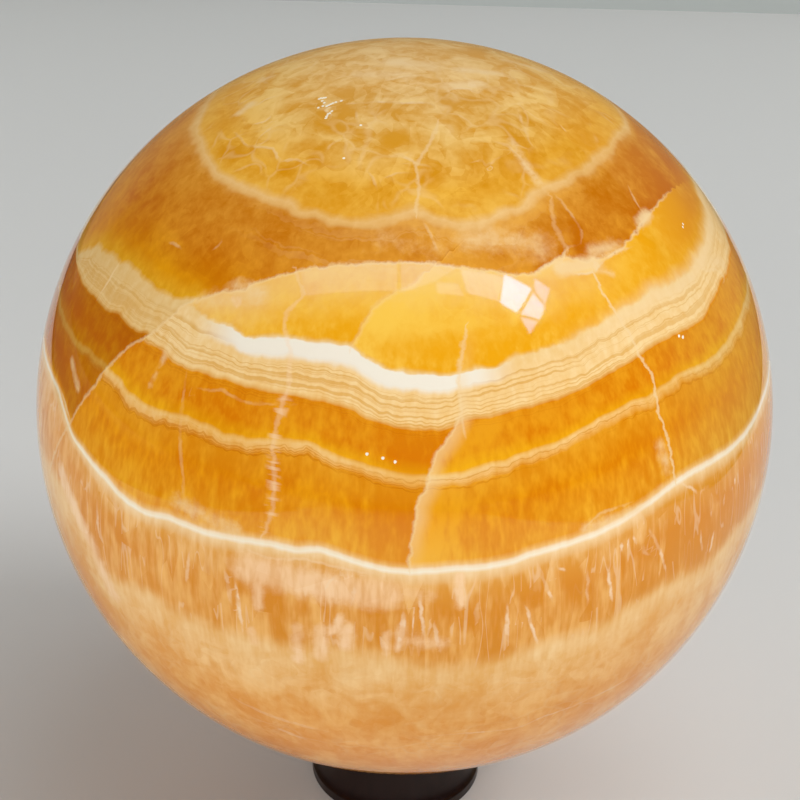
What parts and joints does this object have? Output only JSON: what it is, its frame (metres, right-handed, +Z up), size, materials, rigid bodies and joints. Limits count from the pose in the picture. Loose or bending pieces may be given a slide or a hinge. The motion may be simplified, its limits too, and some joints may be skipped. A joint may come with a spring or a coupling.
{
  "type": "polished calcite sphere on a stand",
  "caption": "Polished ball of banded honey-coloured calcite resting on a small dark turned stand.",
  "frame": {"origin": "middle of the stand's flat base", "axes": "+Z up through the centre of the ball, -Y towards the side that the picture shows"},
  "size_m": [0.1, 0.1, 0.1125],
  "materials": {
    "calcite": "polished",
    "stand_wood": "polished"
  },
  "bodies": {
    "root": {"calcite_sphere": "calcite", "stand": "stand_wood"}
  },
  "joints": []
}
